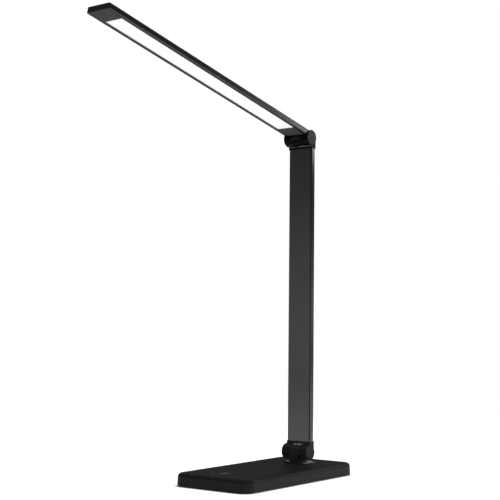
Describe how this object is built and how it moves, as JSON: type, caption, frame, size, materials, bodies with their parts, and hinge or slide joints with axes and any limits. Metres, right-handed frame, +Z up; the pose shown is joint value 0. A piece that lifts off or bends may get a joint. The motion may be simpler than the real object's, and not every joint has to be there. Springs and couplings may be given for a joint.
{
  "type": "led table lamp",
  "caption": "Folding LED desk lamp: slim weighted base, flat upright arm and thin light bar joined by friction knuckle hinges, with a long opal diffuser.",
  "frame": {"origin": "centre of the non-slip pad's underside, on the table", "axes": "+Z up, -Y towards the front where the light bar reaches, X along the hinge axes"},
  "size_m": [0.0988, 0.3507, 0.4625],
  "materials": {
    "rubber_pad": "matte black non-slip rubber",
    "base_moulding": "satin-gloss black moulded plastic",
    "hidden_moulding": "black moulded plastic",
    "knuckle_moulding": "satin black glass-filled moulding",
    "cap_moulding": "satin black moulded caps",
    "post_casting": "black powder-coated casting",
    "anodised_arm": "black anodised, fine brushed",
    "anodised_head": "black anodised, fine brushed",
    "steel_hardware": "zinc-plated steel",
    "friction_fibre": "dark friction washer material",
    "inlet_body": "black socket moulding",
    "inlet_contact": "plated contact pin",
    "circuit_board": "solder-masked board",
    "film": "insulating film",
    "foam": "conductive foam",
    "lead_jacket": "soft lead jacket",
    "opal_diffuser": "opal white, lit",
    "clear_guide": "clear light guide",
    "white_sheet": "white reflector",
    "led_carrier": "white solder-masked board",
    "led_phosphor": "phosphor-coated chips"
  },
  "bodies": {
    "base": {"non_slip_pad": "rubber_pad", "base_bottom_plate": "hidden_moulding", "base_screws": "steel_hardware", "base_top_cover": "base_moulding", "ballast_plate": "steel_hardware", "power_inlet": "inlet_body", "inlet_pin": "inlet_contact", "insulating_film": "film", "control_board": "circuit_board", "touch_pads": "foam", "supply_lead": "lead_jacket", "post_lead": "lead_jacket", "base_hinge_post": "post_casting", "post_screws": "steel_hardware"},
    "arm": {"lower_fork": "knuckle_moulding", "lower_pivot_tube": "steel_hardware", "lower_friction_washers": "friction_fibre", "lower_spring_washer": "steel_hardware", "lower_lock_nut": "steel_hardware", "lower_end_caps": "cap_moulding", "arm_tube": "anodised_arm", "arm_lead": "lead_jacket", "upper_fork": "knuckle_moulding", "upper_pivot_tube": "steel_hardware", "upper_friction_washers": "friction_fibre", "upper_spring_washer": "steel_hardware", "upper_lock_nut": "steel_hardware", "upper_end_caps": "cap_moulding"},
    "head": {"head_neck": "knuckle_moulding", "head_housing": "anodised_head", "head_tip_cap": "knuckle_moulding", "diffuser": "opal_diffuser", "light_guide": "clear_guide", "reflector_sheet": "white_sheet", "led_board": "led_carrier", "led_chips": "led_phosphor", "head_lead": "lead_jacket"}
  },
  "joints": [
    {"name": "arm_tilt", "type": "hinge", "parent": "base", "child": "arm", "pos_m": [0, 0.0569, 0.02525], "axis": [1, 0, 0], "range_deg": [-44.13, 90.87]},
    {"name": "head_tilt", "type": "hinge", "parent": "arm", "child": "head", "pos_m": [0, 0.06221, 0.37521], "axis": [1, 0, 0], "range_deg": [-76.67, 103.33]}
  ]
}
